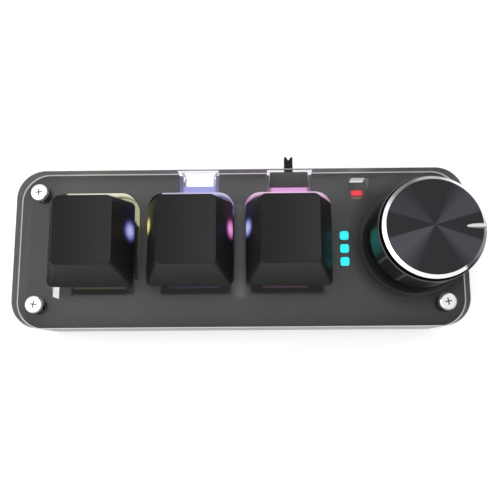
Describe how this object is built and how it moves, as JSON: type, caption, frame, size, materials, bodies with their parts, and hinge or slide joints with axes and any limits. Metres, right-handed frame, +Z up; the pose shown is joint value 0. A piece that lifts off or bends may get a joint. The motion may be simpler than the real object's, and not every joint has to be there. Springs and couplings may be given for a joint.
{
  "type": "macro keypad with rotary knob",
  "caption": "Desk keypad with a row of push keys, a rotary push knob, lamps, a rear power slide and a USB socket under a clear cover plate.",
  "frame": {"origin": "centre of the case's outline, at the underside of the silicone pad that it stands on", "axes": "+X along the row of keys towards the knob, +Y to the back where the socket is, +Z up"},
  "size_m": [0.0963, 0.0385, 0.0285],
  "materials": {
    "shell_plastic": "light grey, fine moulded texture",
    "pad_silicone": "matte silicone",
    "deck_plastic": "black, semi-matt",
    "milky_acrylic": "milky, lit from below",
    "clear_acrylic": "clear, polished face with cut edges",
    "bright_screw": "bright nickel plate",
    "steel": "bright steel",
    "brass": "plain",
    "board": "black solder mask",
    "battery_wrap": "foil pouch",
    "foam_tape": "foam tape",
    "chip_epoxy": "matte epoxy",
    "lamp_resin": "clear resin over a white reflector",
    "window_cyan": "lit translucent plastic",
    "switch_black": "moulded nylon",
    "switch_clear": "smoky clear polycarbonate",
    "stem_plastic": "acetal",
    "cap_plastic": "fine moulded grain",
    "socket_steel": "folded tinned steel",
    "lever_plastic": "moulded black",
    "button_red": "lit red plastic",
    "encoder_black": "moulded black",
    "knob_black": "satin black anodised shell with a bright cut ring"
  },
  "bodies": {
    "case": {"bottom_shell": "shell_plastic", "base_pad": "pad_silicone", "threaded_inserts": "brass", "switch_deck": "deck_plastic", "glow_sheet": "milky_acrylic", "clear_cover": "clear_acrylic", "cover_screws": "bright_screw", "main_board": "board", "board_screws": "steel", "battery_cell": "battery_wrap", "battery_pad": "foam_tape", "battery_tabs": "steel", "controller_chip": "chip_epoxy", "radio_module": "steel", "board_passives": "chip_epoxy", "indicator_lamps": "lamp_resin", "indicator_guides": "window_cyan", "switch_pins": "steel", "socket_shell": "socket_steel", "socket_tongue": "switch_black", "slide_body": "steel", "pairing_switch": "encoder_black", "encoder_base": "encoder_black", "encoder_frame": "steel", "encoder_dome": "steel", "encoder_pins": "steel", "switch_base_1": "switch_black", "switch_top_1": "switch_clear", "switch_spring_1": "steel", "key_lamp_1": "lamp_resin", "switch_base_2": "switch_black", "switch_top_2": "switch_clear", "switch_spring_2": "steel", "key_lamp_2": "lamp_resin", "switch_base_3": "switch_black", "switch_top_3": "switch_clear", "switch_spring_3": "steel", "key_lamp_3": "lamp_resin"},
    "knob": {"knob_shell": "knob_black", "knob_hub": "encoder_black", "encoder_shaft": "steel", "encoder_plunger": "encoder_black"},
    "turn_wheel": {"encoder_rotor": "encoder_black"},
    "power_slide": {"slide_lever": "lever_plastic"},
    "pair_button": {"pairing_button": "button_red"},
    "key_1": {"keycap_1": "cap_plastic", "switch_slider_1": "stem_plastic"},
    "key_2": {"keycap_2": "cap_plastic", "switch_slider_2": "stem_plastic"},
    "key_3": {"keycap_3": "cap_plastic", "switch_slider_3": "stem_plastic"}
  },
  "joints": [
    {"name": "key_1_press", "type": "slide", "parent": "case", "child": "key_1", "axis": [0, 0, -1], "range_m": [0, 0.004], "stiffness_N_per_m": 100, "springref_m": -0.003, "deforming": ["switch_spring_1"]},
    {"name": "key_2_press", "type": "slide", "parent": "case", "child": "key_2", "axis": [0, 0, -1], "range_m": [0, 0.004], "stiffness_N_per_m": 100, "springref_m": -0.003, "deforming": ["switch_spring_2"]},
    {"name": "key_3_press", "type": "slide", "parent": "case", "child": "key_3", "axis": [0, 0, -1], "range_m": [0, 0.004], "stiffness_N_per_m": 100, "springref_m": -0.003, "deforming": ["switch_spring_3"]},
    {"name": "knob_turn", "type": "hinge", "parent": "case", "child": "turn_wheel", "pos_m": [0.0377, 0.0013, 0.0106], "axis": [0, 0, 1], "continuous": true},
    {"name": "knob_press", "type": "slide", "parent": "turn_wheel", "child": "knob", "axis": [0, 0, -1], "range_m": [0, 0.0005], "stiffness_N_per_m": 4000, "springref_m": -0.0005},
    {"name": "power_slide_move", "type": "slide", "parent": "case", "child": "power_slide", "axis": [1, 0, 0], "range_m": [-0.001, 0.001]},
    {"name": "pair_button_press", "type": "slide", "parent": "case", "child": "pair_button", "axis": [0, 0, -1], "range_m": [0, 0.00025], "stiffness_N_per_m": 2000, "springref_m": -0.0003}
  ]
}
